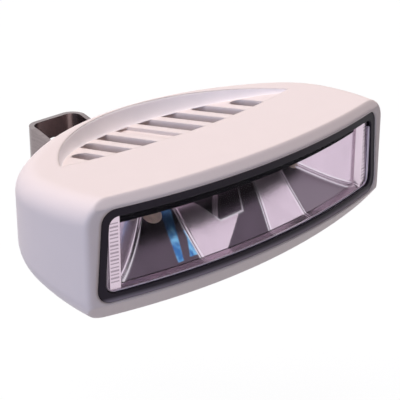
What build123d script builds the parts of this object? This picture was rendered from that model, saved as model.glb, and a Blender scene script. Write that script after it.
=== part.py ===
from build123d import *
import os
from math import sqrt

# A compact lamp head on a strap bracket, for a boat's deck, cabin top or mast.
# X runs to the right seen from the front, Y from the lamp back to the wall it is bolted to, Z up.
# The origin is the centre of the bolt hole in the strap, on the face that meets the wall.

# Driving sizes of the housing, in millimetres
housing_width = 142.0
housing_depth = 79.0
front_radius = 248.0
side_radius = 78.0
shoulder_radius = 33.4
rear_radius = 90.0
widest_at = 27.6
top_at_front = 19.9
top_at_rear = 15.0
under_at_front = 25.0
under_at_rear = 7.8
under_bulge = 1.6
top_round = 8.0
under_round = 9.0
fascia_top = 4.2
fascia_under = 6.0
fascia_top_set_back = 2.9
fascia_under_set_back = 4.5
corner_round = 2.0
window_land = 0.4

# Window in the front, its seal and its lens
window_width = 130.0
window_height = 31.8
window_corner = 5.0
window_flare = 1.3
rebate_depth = 6.0
ledge_width = 3.0
chamber_depth = 33.0
seal_lip = 2.9
seal_bite = 1.4
seal_set_back = 0.4
lens_set_back = 1.6
lens_thickness = 3.0
bezel_depth = 2.5
bezel_band = 0.8
brow_height = 3.5

# Cooling slots and the scoop that they lie in
slot_count = 8
slot_width = 6.2
slot_pitch = 10.6
slot_front_margin = 0.3
slot_rear_middle = 71.2
slot_rear_radius = 49.0
blind_slot = 3
blind_slot_depth = 1.2
scoop_front = 34.8
scoop_half_width = 53.0
scoop_lip = 1.5
scoop_fall = 0.195
scoop_rim = 6.9

# Reflectors
reflector_wall = 1.2
reflector_skirt = 19.5
ramp_depth = 20.6
ramp_hollow = 3.6
divider_width = 22.4
divider_rake = 8.0
divider_length = 14.0
bowl_throat = 7.0
bowl_centre = 37.0
bowl_rim = 20.5

# Circuit board and what is on it
board_thickness = 1.6
pad_thickness = 1.0
led_size = 3.5
led_base = 0.6
led_dome = 1.4
led_dome_height = 0.7
led_pitch = 4.4
coil_diameter = 11.0
coil_height = 6.0
coil_flange = 1.0
capacitor_diameter = 5.0
capacitor_height = 6.0
capacitor_groove = 0.3
chip_length = 5.0
chip_width = 4.0
chip_height = 1.5
terminal_width = 8.0
terminal_depth = 5.0
terminal_height = 6.0
screw_diameter = 3.0
screw_head = 5.5
screw_head_height = 1.7
screw_length = 8.0
screw_across = 57.0
screw_up = 8.0
coil_x = 5.0
coil_up = 2.0
capacitor_places = [(3.0, -8.0), (8.5, -8.0)]
chip_places = [(-13.5, 5.0), (-13.5, -5.0)]
lead_pitch = 1.5
lead_width = 0.6
lead_height = 0.4
lead_reach = 0.9
terminal_socket = 1.0
terminal_up = -3.5
terminal_wire = 2.0
terminal_screw = 2.6

# Cable inlet and breather
cable_up = 3.6
cable_bore = 6.0
cable_hole = 3.8
grommet_flange = 8.2
grommet_seat = 2.0
grommet_proud = 1.5
grommet_stem = 8.0
grommet_bevel = 0.8
breather_x = -40.0
breather_depth = 22.0
breather_body = 8.0
breather_head = 12.0
breather_head_height = 2.0
breather_seat = 19.4
breather_gap = 0.5
breather_stem = 4.2
breather_cup = 3.2
breather_wall = 1.0
breather_bevel = 0.6

# Pivot and bracket
wall_gap = 38.0
hole_below_axis = 12.6
pivot_from_wall = 32.0
pivot_below_hole = 5.4
strap_width = 24.0
strap_thickness = 2.0
strap_span = 25.0
strap_bend = 6.0
strap_below = 12.0
strap_reach = 60.0
ear_bulge = 1.6
ear_radius = 8.0
lug_radius = 7.5
lug_root_radius = 6.0
lug_root_from_rear = 9.0
pivot_bolt_diameter = 6.0
bolt_head_across = 10.0
bolt_head_height = 4.0
bolt_head_chamfer = 0.4
bolt_tip_chamfer = 0.6
nut_height = 6.0
nut_collar = 1.5
nut_collar_set_in = 0.5
thread_past_nut = 1.0
washer_diameter = 12.0
washer_thickness = 1.6
friction_washer_thickness = 0.5
bush_wall = 1.0
wall_hole_diameter = 8.4

# Clearances
slip = 0.1
running = 0.05
over = 10.0

# Values worked out from those above
face_y = -(wall_gap + housing_depth)
axis_z = hole_below_axis
bend_y = face_y + front_radius
half_width = housing_width / 2
rear_y = face_y + housing_depth
rear_centre = Vector(0, rear_y - rear_radius)
side_centre = Vector(half_width - side_radius, face_y + widest_at)
pivot_y = -pivot_from_wall
pivot_z = -pivot_below_hole
strap_inside = strap_span - 2 * strap_thickness
bush_inner = pivot_bolt_diameter / 2 + running
bush_outer = bush_inner + bush_wall
lug_width = strap_inside - 2 * friction_washer_thickness - 4 * running
top_fall = (top_at_front - top_at_rear) / housing_depth
under_rise = (under_at_front - under_at_rear) / housing_depth
pad_front = chamber_depth - pad_thickness
board_front = pad_front - board_thickness
lens_back = lens_set_back + lens_thickness
bezel_front = lens_back + 2 * slip
reflector_front = bezel_front + bezel_depth + slip
cable_x = (blind_slot - (slot_count - 1) / 2) * slot_pitch
upright = Axis((0, bend_y, 0), (0, 0, 1))
screw_places = [(x, z) for x in (-screw_across, screw_across) for z in (-screw_up, screw_up)]


def front_plane(depth):
    """Plane facing forward, centred on the optical axis, at a depth behind the front face."""
    return Plane(origin=(0, face_y + depth, axis_z), x_dir=(1, 0, 0), z_dir=(0, -1, 0))


def window_outline(inset, brow=0.0):
    """The window seen from the front, drawn smaller by inset, its top edge lowered by brow."""
    half_height = window_height / 2 - inset
    half_across = window_width / 2 - inset
    flare = window_flare * half_height / (window_height / 2)
    with BuildSketch() as outline:
        with BuildLine():
            Polyline(
                (-half_across - flare, -half_height),
                (half_across + flare, -half_height),
                (half_across - flare, half_height - brow),
                (-half_across + flare, half_height - brow),
                close=True,
            )
        make_face()
        fillet(outline.vertices(), window_corner - inset * 0.6)
    return outline.sketch


def bent_plate(outline, front, back):
    """Solid with the given outline seen from the front, bent like the face, between two depths."""
    with BuildPart() as plate:
        with BuildSketch(front_plane(front - 1)):
            add(outline)
        extrude(amount=-(housing_depth / 2))
        with BuildSketch(Plane.XY.offset(axis_z - window_height)):
            with Locations((0, bend_y)):
                Circle(front_radius - front)
                Circle(front_radius - back, mode=Mode.SUBTRACT)
        extrude(amount=2 * window_height, mode=Mode.INTERSECT)
    return plate.part


def flat_plate(outline, front, back):
    """Solid with the given outline seen from the front, flat, between two depths."""
    with BuildPart() as plate:
        with BuildSketch(front_plane(front)):
            add(outline)
        extrude(amount=-(back - front))
    return plate.part


def find_shoulder_centre():
    """Centre of the shoulder arc, which lies inside the side arc and the rear arc and touches both."""
    between = rear_centre - side_centre
    side_gap = side_radius - shoulder_radius
    rear_gap = rear_radius - shoulder_radius
    along = (side_gap**2 - rear_gap**2 + between.length**2) / (2 * between.length)
    off = sqrt(side_gap**2 - along**2)
    ahead = between.normalized()
    return side_centre + ahead * along + Vector(-ahead.Y, ahead.X) * off


def at_side(point, side):
    """A point of the plan on the right (side 1) or its mirror image on the left (side -1)."""
    return (side * point.X, point.Y)


def under_height(depth):
    """Height of the underside at a depth behind the face: it rises to the rear and bulges a little."""
    straight = under_at_front - under_rise * depth
    bulge = under_bulge * (1 - (2 * depth / housing_depth - 1) ** 2)
    return axis_z - straight - bulge


def slot_x(index):
    """Middle of one cooling slot, counted from the left."""
    return (index - (slot_count - 1) / 2) * slot_pitch


def slot_rear(x):
    """Rear end of a cooling slot, on an arc a little inside the rim of the scoop."""
    return slot_rear_middle - slot_rear_radius + sqrt(slot_rear_radius**2 - x**2)


shoulder_centre = find_shoulder_centre()
side_join = side_centre + (shoulder_centre - side_centre).normalized() * side_radius
rear_join = rear_centre + (shoulder_centre - rear_centre).normalized() * rear_radius
shoulder_middle = (side_join + rear_join - shoulder_centre * 2).normalized() * shoulder_radius
shoulder_middle = shoulder_centre + shoulder_middle
widest = Vector(half_width, side_centre.Y)
side_lead = side_centre.Y - face_y + over
side_start = side_centre + Vector(sqrt(side_radius**2 - side_lead**2), -side_lead)

# Plan of the housing, carried on forward past the face: arcs at the rear, the shoulders and the sides
with BuildSketch() as housing_plan:
    with BuildLine():
        ThreePointArc(at_side(rear_join, -1), (0, rear_y), at_side(rear_join, 1))
        for side in (-1, 1):
            shoulder = [at_side(point, side) for point in (rear_join, shoulder_middle, side_join)]
            ThreePointArc(*shoulder)
            ThreePointArc(at_side(side_join, side), at_side(widest, side), at_side(side_start, side))
        Line(at_side(side_start, -1), at_side(side_start, 1))
    make_face()


def fascia_cutter(side, edge, width, set_back):
    """Ring that bevels the front face above (side 1) or below (side -1) the window."""
    slope = width / set_back
    reach = 3 * set_back
    with BuildPart() as cutter:
        with BuildSketch(Plane.YZ):
            with BuildLine():
                Polyline(
                    (face_y - 1, axis_z + side * (edge - slope)),
                    (face_y + reach, axis_z + side * (edge + slope * reach)),
                    (face_y - 1, axis_z + side * (edge + slope * reach)),
                    close=True,
                )
            make_face()
        revolve(axis=upright, revolution_arc=360)
    return cutter.part


def slot_outline(index):
    """One cooling slot seen from above: square under the lip of the scoop, round at the rear."""
    x = slot_x(index)
    front = face_y + scoop_front + (abs(x) + slot_width / 2) ** 2 / (2 * front_radius) + slot_front_margin
    rear = face_y + slot_rear(x) - slot_width / 2
    with BuildSketch() as outline:
        with Locations((x, (front + rear) / 2)):
            Rectangle(slot_width, rear - front)
        with Locations((x, rear)):
            Circle(slot_width / 2)
    return outline.sketch


def scoop_outline():
    """Plan of the scoop: its front edge runs along with the face, its rim is a flatter arc behind."""
    with BuildSketch() as outline:
        with BuildLine():
            tip_y = bend_y - sqrt((front_radius - scoop_front) ** 2 - scoop_half_width**2)
            ThreePointArc(
                (-scoop_half_width, tip_y), (0, face_y + scoop_front), (scoop_half_width, tip_y)
            )
            ThreePointArc(
                (scoop_half_width, tip_y), (0, rear_y - scoop_rim), (-scoop_half_width, tip_y)
            )
        make_face()
    return outline.sketch


def scoop_cutter(drop):
    """Cone that falls to the rear under the scoop, lowered by drop, with all the room above it."""
    front = bend_y - (face_y + scoop_front)
    back = bend_y - rear_y
    height = axis_z + top_at_front - top_fall * scoop_front - scoop_lip - drop
    with BuildPart() as cutter:
        with BuildSketch(Plane(origin=(0, bend_y, 0), x_dir=(1, 0, 0), z_dir=(0, -1, 0))):
            with BuildLine():
                Polyline(
                    (front + 1, height + scoop_fall),
                    (back, height - scoop_fall * (front - back)),
                    (back, height + housing_depth),
                    (front + 1, height + housing_depth),
                    close=True,
                )
            make_face()
        revolve(axis=upright, revolution_arc=360)
    return cutter.part


# The scoop as a solid
with BuildPart() as scoop:
    with BuildSketch(Plane.XY.offset(axis_z - housing_depth / 4)):
        add(scoop_outline())
    extrude(amount=housing_depth)
    add(scoop_cutter(0), mode=Mode.INTERSECT)

# The cooling slots seen from above, the blind one apart from the open ones
with BuildSketch() as open_slots:
    for index in range(slot_count):
        if index != blind_slot:
            add(slot_outline(index))

# The arm below the rear that carries the pivot
with BuildSketch() as lug_outline:
    with Locations((pivot_y, pivot_z)):
        Circle(lug_radius)
    with Locations((rear_y - lug_root_from_rear, axis_z)):
        Circle(lug_root_radius)
    make_hull()

rebate = bent_plate(window_outline(0), -1, rebate_depth)
chamber = flat_plate(window_outline(ledge_width), 0, chamber_depth)
blind_floor = scoop_cutter(blind_slot_depth)
fascia_edge = window_height / 2 + window_land
fascia_above = fascia_cutter(1, fascia_edge, fascia_top, fascia_top_set_back)
fascia_below = fascia_cutter(-1, fascia_edge, fascia_under, fascia_under_set_back)

# The blind slot as a solid, only as deep as its floor
with BuildPart() as blind_slot_room:
    with BuildSketch(Plane.XY.offset(axis_z)):
        add(slot_outline(blind_slot))
    extrude(amount=housing_depth)
    add(blind_floor, mode=Mode.INTERSECT)

with BuildPart() as housing:
    with BuildSketch(Plane.XY.offset(axis_z - housing_depth / 2)):
        add(housing_plan.sketch)
    extrude(amount=housing_depth)
    # Seen from the side the top falls gently and the underside rises towards the rear
    with BuildSketch(Plane.YZ):
        with BuildLine():
            Polyline(
                (face_y - over, under_height(-over)),
                (face_y - over, axis_z + top_at_front + top_fall * over),
                (rear_y + over, axis_z + top_at_rear - top_fall * over),
                (rear_y + over, under_height(housing_depth + over)),
            )
            ThreePointArc(
                (face_y - over, under_height(-over)),
                (face_y + housing_depth / 2, under_height(housing_depth / 2)),
                (rear_y + over, under_height(housing_depth + over)),
            )
        make_face()
    extrude(amount=housing_width, both=True, mode=Mode.INTERSECT)
    top_face = housing.faces().sort_by(Axis.Z)[-1]
    fillet(top_face.edges().sort_by(Axis.Y)[1:], top_round)
    under_face = housing.faces().sort_by(Axis.Z)[0]
    fillet(under_face.edges().sort_by(Axis.Y)[1:], under_round)
    # The face is bent like the lens
    with BuildSketch(Plane.XY.offset(axis_z - housing_depth / 2)):
        with Locations((0, bend_y)):
            Circle(front_radius)
    extrude(amount=housing_depth, mode=Mode.INTERSECT)
    add(fascia_above, mode=Mode.SUBTRACT)
    add(fascia_below, mode=Mode.SUBTRACT)
    fillet(housing.edges().filter_by(Axis.Z).group_by(Axis.Y)[0], corner_round)
    # Arm for the pivot
    with BuildSketch(Plane.YZ.offset(-lug_width / 2)):
        add(lug_outline.sketch)
    extrude(amount=lug_width)
    add(scoop.part, mode=Mode.SUBTRACT)
    with BuildSketch(Plane.XY.offset(axis_z - housing_depth / 2)):
        add(open_slots.sketch)
    extrude(amount=housing_depth, mode=Mode.SUBTRACT)
    add(blind_slot_room.part, mode=Mode.SUBTRACT)
    # Lens seat and chamber
    add(rebate, mode=Mode.SUBTRACT)
    add(chamber, mode=Mode.SUBTRACT)
    # Screw holes in the bulkhead
    with BuildSketch(front_plane(chamber_depth)):
        with Locations(screw_places):
            Circle(screw_diameter / 2 + slip)
    extrude(amount=-(screw_length - board_thickness - pad_thickness + 1), mode=Mode.SUBTRACT)
    # Cable bore from the chamber to the rear, with the seat of its grommet
    with BuildSketch(front_plane(chamber_depth)):
        with Locations((cable_x, cable_up)):
            Circle(cable_bore / 2)
    extrude(amount=-housing_depth, mode=Mode.SUBTRACT)
    with BuildSketch(front_plane(housing_depth - grommet_seat)):
        with Locations((cable_x, cable_up)):
            Circle(grommet_flange / 2 + slip)
    extrude(amount=-housing_depth / 4, mode=Mode.SUBTRACT)
    # Breather hole and its flat seat in the underside
    with BuildSketch(Plane.XY.offset(axis_z)):
        with Locations((breather_x, face_y + breather_depth)):
            Circle(breather_body / 2 + slip)
    extrude(amount=-housing_depth / 2, mode=Mode.SUBTRACT)
    with BuildSketch(Plane.XY.offset(axis_z - breather_seat)):
        with Locations((breather_x, face_y + breather_depth)):
            Circle(breather_head / 2 + breather_gap)
    extrude(amount=-housing_depth / 4, mode=Mode.SUBTRACT)
    # Pivot bore
    with BuildSketch(Plane.YZ):
        with Locations((pivot_y, pivot_z)):
            Circle(bush_outer + slip)
    extrude(amount=lug_width, both=True, mode=Mode.SUBTRACT)

seal_outer = bent_plate(window_outline(slip), seal_set_back, rebate_depth - slip)
seal_hole = bent_plate(window_outline(seal_lip), -1, rebate_depth + 1)
seal_groove = bent_plate(window_outline(seal_bite), lens_set_back - slip, lens_back + slip)

with BuildPart() as lens_gasket:
    add(seal_outer)
    add(seal_hole, mode=Mode.SUBTRACT)
    add(seal_groove, mode=Mode.SUBTRACT)

lens_plate = bent_plate(window_outline(seal_bite + slip), lens_set_back, lens_back)

with BuildPart() as lens:
    add(lens_plate)

bezel_inset = ledge_width + slip
bezel_outer = bent_plate(window_outline(bezel_inset), bezel_front, bezel_front + bezel_depth)
bezel_inner = bent_plate(
    window_outline(bezel_inset + bezel_band, brow_height), 0, bezel_front + bezel_depth + 1
)

with BuildPart() as bezel_frame:
    add(bezel_outer)
    add(bezel_inner, mode=Mode.SUBTRACT)


def reflector_half(side, inset, inner):
    """One half of the chamber seen from the front, from inner outwards, drawn smaller by inset."""
    with BuildSketch() as half:
        add(window_outline(ledge_width + slip + inset))
        with Locations((side * (inner + inset + window_width / 2), 0)):
            Rectangle(window_width, 2 * window_height, mode=Mode.INTERSECT)
    return half.sketch


def bowl_profile(radius, depth, wall):
    """Curve of a parabolic bowl from its throat on the board out to its rim, moved outwards by wall."""
    knee = (bowl_throat + radius) / 2
    slope = 2 * (board_front - depth) / (radius**2 - bowl_throat**2)
    knee_y = face_y + board_front - slope * bowl_throat * (knee - bowl_throat)
    throat_point = (bowl_throat + wall, face_y + board_front)
    rim_point = (radius + wall, face_y + depth)
    Bezier(throat_point, (knee + wall, knee_y), rim_point)
    return throat_point, rim_point


def bowl_axis(side):
    """Optical axis of one group of lights."""
    return Axis((side * bowl_centre, 0, axis_z), (0, 1, 0))


def bowl_plane(side):
    """Level plane through the optical axis of one group of lights."""
    return Plane(origin=(side * bowl_centre, 0, axis_z), z_dir=(0, 0, 1))


def bowl_shell(side):
    """Thin parabolic bowl round the optical axis of one group of lights."""
    with BuildPart() as bowl:
        with BuildSketch(bowl_plane(side)):
            with BuildLine():
                inner_throat, inner_rim = bowl_profile(bowl_rim, reflector_front, 0)
                outer_throat, outer_rim = bowl_profile(bowl_rim, reflector_front, reflector_wall)
                Line(inner_throat, outer_throat)
                Line(inner_rim, outer_rim)
            make_face()
        revolve(axis=bowl_axis(side), revolution_arc=360)
    return bowl.part


def bowl_room(side):
    """The hollow inside one bowl, carried on forward past the front."""
    with BuildPart() as room:
        with BuildSketch(bowl_plane(side)):
            with BuildLine():
                throat, rim = bowl_profile(bowl_rim, reflector_front, 0)
                Polyline(throat, (0, throat[1]), (0, face_y), (rim[0], face_y), rim)
            make_face()
        revolve(axis=bowl_axis(side), revolution_arc=360)
    return room.part


def ramp_profile(shift):
    """Side view of the ramp, moved back by shift: it climbs from the foot of the window to the top."""
    half_height = window_height / 2 - ledge_width
    foot = (face_y + reflector_front + shift, axis_z - half_height)
    head = (face_y + reflector_front + shift + ramp_depth, axis_z + half_height)
    middle = (foot[0] + ramp_depth / 2 + ramp_hollow, axis_z - ramp_hollow)
    Bezier(foot, middle, head)
    return foot, head


def spun_ramp(front, back):
    """Everything between the ramp moved back by front and by back, bent like the face."""
    with BuildPart() as ramp:
        with BuildSketch(Plane.YZ):
            with BuildLine():
                front_foot, front_head = ramp_profile(front)
                back_foot, back_head = ramp_profile(back)
                Line(front_foot, back_foot)
                Line(front_head, back_head)
            make_face()
        revolve(axis=upright, revolution_arc=360)
    return ramp.part


def make_reflector(side):
    """One reflector: a ramp that climbs to the rear, a bowl sunk in it and a skirt round both."""
    inner = divider_width / 2 + slip
    outline = reflector_half(side, 0, inner)
    skirt = bent_plate(outline, reflector_front, reflector_skirt)
    skirt_room = bent_plate(
        reflector_half(side, reflector_wall, inner), reflector_front - 1, reflector_skirt + 1
    )
    field = flat_plate(outline, 0, board_front)
    ramp_field = flat_plate(outline, 0, board_front - screw_head_height - slip)
    ramp = spun_ramp(0, reflector_wall)
    ahead = spun_ramp(-ramp_depth - over, 0)
    bowl = bowl_shell(side)
    hollow = bowl_room(side)
    with BuildPart() as shell:
        add(ramp & ramp_field)
        add(hollow, mode=Mode.SUBTRACT)
        add((bowl & field) - ahead)
        add(skirt.cut(skirt_room))
    return shell.part


def raked_front(depth):
    """Everything in front of the sloping front of the divider, which lies deeper at the top."""
    half_height = window_height / 2
    with BuildPart() as front:
        with BuildSketch(Plane.YZ):
            with BuildLine():
                Polyline(
                    (face_y + depth, axis_z - half_height),
                    (face_y + depth + divider_rake, axis_z + half_height),
                    (face_y - over, axis_z + half_height),
                    (face_y - over, axis_z - half_height),
                    close=True,
                )
            make_face()
        extrude(amount=divider_width, both=True)
    return front.part


left_shell = make_reflector(-1)
right_shell = make_reflector(1)

with BuildPart() as reflector_left:
    add(left_shell)

with BuildPart() as reflector_right:
    add(right_shell)

divider_front = raked_front(reflector_front)
divider_field = flat_plate(window_outline(ledge_width + slip), 0, reflector_front + divider_length)

with BuildPart() as reflector_divider:
    add(divider_field)
    with Locations((0, face_y, axis_z)):
        Box(divider_width, housing_depth, housing_depth, mode=Mode.INTERSECT)
    add(divider_front, mode=Mode.SUBTRACT)

board_plate = flat_plate(window_outline(ledge_width + slip), board_front, pad_front)
pad_plate = flat_plate(window_outline(ledge_width + 4 * slip), pad_front, chamber_depth)

with BuildPart() as main_board:
    add(board_plate)
    with BuildSketch(front_plane(board_front)):
        with Locations(screw_places):
            Circle(screw_diameter / 2 + 2 * slip)
        with Locations((cable_x, cable_up)):
            Circle(cable_bore / 2)
    extrude(amount=-board_thickness, mode=Mode.SUBTRACT)

with BuildPart() as thermal_pad:
    add(pad_plate)
    with BuildSketch(front_plane(pad_front)):
        with Locations(screw_places):
            Circle(screw_diameter / 2 + 4 * slip)
        with Locations((cable_x, cable_up)):
            Circle(cable_bore / 2)
    extrude(amount=-pad_thickness, mode=Mode.SUBTRACT)


def make_leds(side):
    """Four lights on the board at the throat of one bowl, each a square base with a dome."""
    with BuildPart() as leds:
        with BuildSketch(front_plane(board_front)):
            with Locations((side * bowl_centre, 0)):
                with GridLocations(led_pitch, led_pitch, 2, 2):
                    Rectangle(led_size, led_size)
        extrude(amount=led_base)
        with BuildSketch(front_plane(board_front - led_base)):
            with Locations((side * bowl_centre, 0)):
                with GridLocations(led_pitch, led_pitch, 2, 2):
                    Circle(led_dome)
        extrude(amount=led_dome_height)
    return leds.part


left_lights = make_leds(-1)
right_lights = make_leds(1)

with BuildPart() as led_group_left:
    add(left_lights)

with BuildPart() as led_group_right:
    add(right_lights)


def spun(x, up, steps):
    """Round part standing on the board at (x, up): pairs of radius and height, from the board out."""
    base = Plane(origin=(x, face_y + board_front, axis_z + up), x_dir=(1, 0, 0), z_dir=(0, 0, 1))
    outline = [(radius, -height) for radius, height in steps]
    with BuildPart() as turned:
        with BuildSketch(base):
            with BuildLine():
                Polyline((0, 0), *outline, (0, outline[-1][1]), close=True)
            make_face()
        revolve(axis=Axis((x, 0, axis_z + up), (0, 1, 0)), revolution_arc=360)
    return turned.part


coil_radius = coil_diameter / 2
coil_steps = [
    (coil_radius, 0),
    (coil_radius, coil_flange),
    (coil_radius - coil_flange, coil_flange),
    (coil_radius - coil_flange, coil_height - coil_flange),
    (coil_radius, coil_height - coil_flange),
    (coil_radius, coil_height),
]
can_radius = capacitor_diameter / 2
can_waist = capacitor_height / 4
can_steps = [
    (can_radius, 0),
    (can_radius, can_waist - capacitor_groove),
    (can_radius - capacitor_groove, can_waist),
    (can_radius, can_waist + capacitor_groove),
    (can_radius, capacitor_height),
]
coil_shape = spun(coil_x, coil_up, coil_steps)
can_shapes = [spun(x, up, can_steps) for x, up in capacitor_places]

with BuildPart() as driver_coil:
    add(coil_shape)

with BuildPart() as driver_capacitors:
    for can in can_shapes:
        add(can)

with BuildPart() as driver_chips:
    with BuildSketch(front_plane(board_front)):
        with Locations(chip_places):
            Rectangle(chip_width, chip_length)
    extrude(amount=chip_height)
    with BuildSketch(front_plane(board_front)):
        with Locations(chip_places):
            with GridLocations(0, lead_pitch, 1, 3):
                Rectangle(chip_width + 2 * lead_reach, lead_width)
    extrude(amount=lead_height)

with BuildPart() as supply_terminal:
    with BuildSketch(front_plane(board_front)):
        with Locations((cable_x, terminal_up)):
            Rectangle(terminal_width, terminal_depth)
    extrude(amount=terminal_height)
    # Wire entries from above and clamping screws from the front
    with BuildSketch(Plane.XY.offset(axis_z + terminal_up)):
        with Locations((cable_x, face_y + board_front - terminal_height / 2 + terminal_wire / 2)):
            with GridLocations(terminal_width / 2, 0, 2, 1):
                Circle(terminal_wire / 2)
    extrude(amount=terminal_depth, mode=Mode.SUBTRACT)
    with BuildSketch(front_plane(board_front - terminal_height)):
        with Locations((cable_x, terminal_up)):
            with GridLocations(terminal_width / 2, 0, 2, 1):
                Circle(terminal_screw / 2)
    extrude(amount=-terminal_socket, mode=Mode.SUBTRACT)

with BuildPart() as board_screws:
    with BuildSketch(front_plane(board_front)):
        with Locations(screw_places):
            Circle(screw_head / 2)
    extrude(amount=screw_head_height)
    with BuildSketch(front_plane(board_front)):
        with Locations(screw_places):
            Circle(screw_diameter / 2)
    extrude(amount=-screw_length)

with BuildPart() as cable_grommet:
    with BuildSketch(front_plane(housing_depth - grommet_seat)):
        with Locations((cable_x, cable_up)):
            Circle(grommet_flange / 2)
    extrude(amount=-(grommet_seat + grommet_proud))
    chamfer(cable_grommet.faces().sort_by(Axis.Y)[-1].edges(), grommet_bevel)
    with BuildSketch(front_plane(housing_depth - grommet_seat)):
        with Locations((cable_x, cable_up)):
            Circle(cable_bore / 2 - slip)
    extrude(amount=grommet_stem)
    with BuildSketch(front_plane(housing_depth - grommet_seat - grommet_stem)):
        with Locations((cable_x, cable_up)):
            Circle(cable_hole / 2)
    extrude(amount=-housing_depth, mode=Mode.SUBTRACT)

with BuildPart() as breather_plug:
    with BuildSketch(Plane.XY.offset(axis_z - breather_seat)):
        with Locations((breather_x, face_y + breather_depth)):
            Circle(breather_head / 2)
    extrude(amount=-breather_head_height)
    chamfer(breather_plug.faces().sort_by(Axis.Z)[0].edges(), breather_bevel)
    with BuildSketch(Plane.XY.offset(axis_z - breather_seat)):
        with Locations((breather_x, face_y + breather_depth)):
            Circle(breather_body / 2)
    extrude(amount=breather_stem)
    # A blind cup behind the membrane
    with BuildSketch(Plane.XY.offset(axis_z - breather_seat + breather_stem)):
        with Locations((breather_x, face_y + breather_depth)):
            Circle(breather_body / 2 - breather_wall)
    extrude(amount=-breather_cup, mode=Mode.SUBTRACT)

with BuildPart() as pivot_bush:
    with BuildSketch(Plane.YZ.offset(-lug_width / 2)):
        with Locations((pivot_y, pivot_z)):
            Circle(bush_outer)
            Circle(bush_inner, mode=Mode.SUBTRACT)
    extrude(amount=lug_width)

# The strap: a U seen from above, cut to the outline of its ears seen from the side
with BuildSketch() as strap_plan:
    with Locations((0, -strap_reach / 2)):
        Rectangle(strap_span, strap_reach)
    fillet(strap_plan.vertices().group_by(Axis.Y)[-1], strap_bend)
with BuildSketch() as strap_room:
    with Locations((0, -strap_thickness - strap_reach / 2)):
        Rectangle(strap_inside, strap_reach)
    fillet(strap_room.vertices().group_by(Axis.Y)[-1], strap_bend - strap_thickness)
with BuildSketch() as ear_outline:
    with BuildLine():
        Line((0, -strap_below), (0, strap_width - strap_below))
        Line((0, strap_width - strap_below), (-strap_bend, strap_width - strap_below))
        ThreePointArc(
            (-strap_bend, strap_width - strap_below),
            (pivot_y / 2 - ear_bulge, (strap_width - strap_below + pivot_z + ear_radius) / 2 + ear_bulge),
            (pivot_y, pivot_z + ear_radius),
        )
        ThreePointArc(
            (pivot_y, pivot_z + ear_radius),
            (pivot_y - ear_radius, pivot_z),
            (pivot_y, pivot_z - ear_radius),
        )
        Line((pivot_y, pivot_z - ear_radius), (-strap_bend, -strap_below))
        Line((-strap_bend, -strap_below), (0, -strap_below))
    make_face()

with BuildPart() as bracket_strap:
    with BuildSketch(Plane.XY.offset(-strap_width)):
        add(strap_plan.sketch)
        add(strap_room.sketch, mode=Mode.SUBTRACT)
    extrude(amount=2 * strap_width)
    with BuildSketch(Plane.YZ.offset(-strap_span)):
        add(ear_outline.sketch)
    extrude(amount=2 * strap_span, mode=Mode.INTERSECT)
    with BuildSketch(Plane.XZ):
        Circle(wall_hole_diameter / 2)
    extrude(amount=2 * strap_thickness, both=True, mode=Mode.SUBTRACT)
    with BuildSketch(Plane.YZ):
        with Locations((pivot_y, pivot_z)):
            Circle(pivot_bolt_diameter / 2 + 2 * slip)
    extrude(amount=strap_span, both=True, mode=Mode.SUBTRACT)


def pivot_disc(start, thickness, radius):
    """Round plate on the pivot line, from start outwards along X."""
    with BuildPart() as disc:
        with BuildSketch(Plane.YZ.offset(start)):
            with Locations((pivot_y, pivot_z)):
                Circle(radius)
                Circle(pivot_bolt_diameter / 2 + slip, mode=Mode.SUBTRACT)
        extrude(amount=thickness)
    return disc.part


washer_x = strap_span / 2
friction_x = lug_width / 2 + running
washer_right = pivot_disc(washer_x, washer_thickness, washer_diameter / 2)
washer_left = pivot_disc(-washer_x - washer_thickness, washer_thickness, washer_diameter / 2)
friction_right = pivot_disc(friction_x, friction_washer_thickness, lug_radius)
friction_left = pivot_disc(-friction_x - friction_washer_thickness, friction_washer_thickness, lug_radius)

with BuildPart() as pivot_washers:
    add(washer_left)
    add(washer_right)

with BuildPart() as friction_washers:
    add(friction_left)
    add(friction_right)

grip = washer_x + washer_thickness

with BuildPart() as pivot_bolt:
    with BuildSketch(Plane.YZ.offset(grip)):
        with Locations((pivot_y, pivot_z)):
            RegularPolygon(bolt_head_across / 2, 6, major_radius=False)
    extrude(amount=bolt_head_height)
    chamfer(pivot_bolt.faces().sort_by(Axis.X)[-1].edges(), bolt_head_chamfer)
    with BuildSketch(Plane.YZ.offset(grip)):
        with Locations((pivot_y, pivot_z)):
            Circle(pivot_bolt_diameter / 2)
    extrude(amount=-(2 * grip + nut_height + thread_past_nut))
    chamfer(pivot_bolt.faces().sort_by(Axis.X)[0].edges(), bolt_tip_chamfer)

with BuildPart() as pivot_nut:
    with BuildSketch(Plane.YZ.offset(-grip)):
        with Locations((pivot_y, pivot_z)):
            RegularPolygon(bolt_head_across / 2, 6, major_radius=False)
    extrude(amount=-(nut_height - nut_collar))
    with BuildSketch(Plane.YZ.offset(-grip)):
        with Locations((pivot_y, pivot_z)):
            Circle(bolt_head_across / 2 - nut_collar_set_in)
    extrude(amount=-nut_height)
    with BuildSketch(Plane.YZ.offset(-grip)):
        with Locations((pivot_y, pivot_z)):
            Circle(pivot_bolt_diameter / 2 + slip)
    extrude(amount=-nut_height, mode=Mode.SUBTRACT)

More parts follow.
